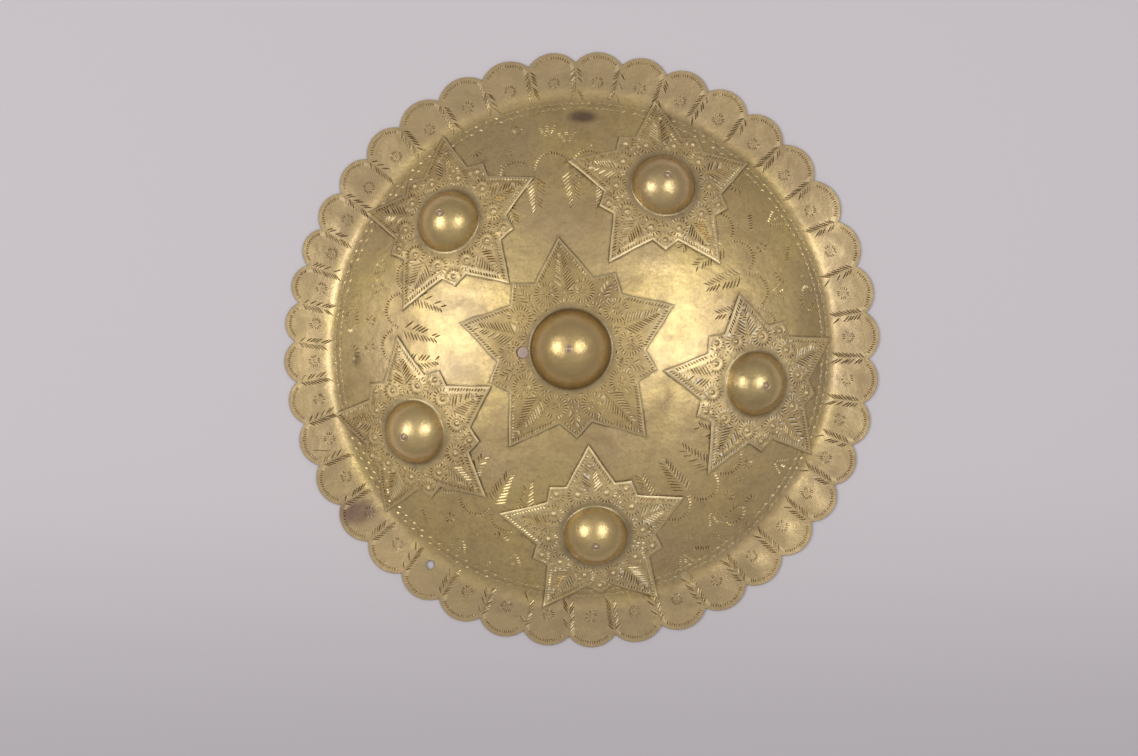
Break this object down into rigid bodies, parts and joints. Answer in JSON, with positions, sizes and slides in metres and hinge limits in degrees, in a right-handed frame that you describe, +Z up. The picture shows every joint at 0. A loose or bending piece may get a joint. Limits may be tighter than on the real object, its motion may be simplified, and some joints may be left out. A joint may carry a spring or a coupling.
{
  "type": "buckler shield",
  "caption": "Round dished brass buckler with a scalloped brim and riveted star plates, each with a raised round boss.",
  "frame": {"origin": "on the surface the shield lies on, under the middle of the dish", "axes": "+Z up through the dome, +Y towards the top of the shield as the picture shows it, +X to its right"},
  "size_m": [0.3596, 0.3595, 0.0686],
  "materials": {
    "dish_brass": "hand-raised and chased brass sheet, dulled and rubbed, with dark and bright patches",
    "star_brass": "chased brass sheet plates with smooth burnished bosses",
    "rivet_brass": "hammered reddish brass rivet heads"
  },
  "bodies": {
    "root": {"shield_dish": "dish_brass", "star_boss_centre": "star_brass", "star_boss_upper_left": "star_brass", "star_boss_upper_right": "star_brass", "star_boss_right": "star_brass", "star_boss_bottom": "star_brass", "star_boss_lower_left": "star_brass", "rivet_centre": "rivet_brass", "rivet_upper_left": "rivet_brass", "rivet_upper_right": "rivet_brass", "rivet_right": "rivet_brass", "rivet_bottom": "rivet_brass", "rivet_lower_left": "rivet_brass"}
  },
  "joints": []
}
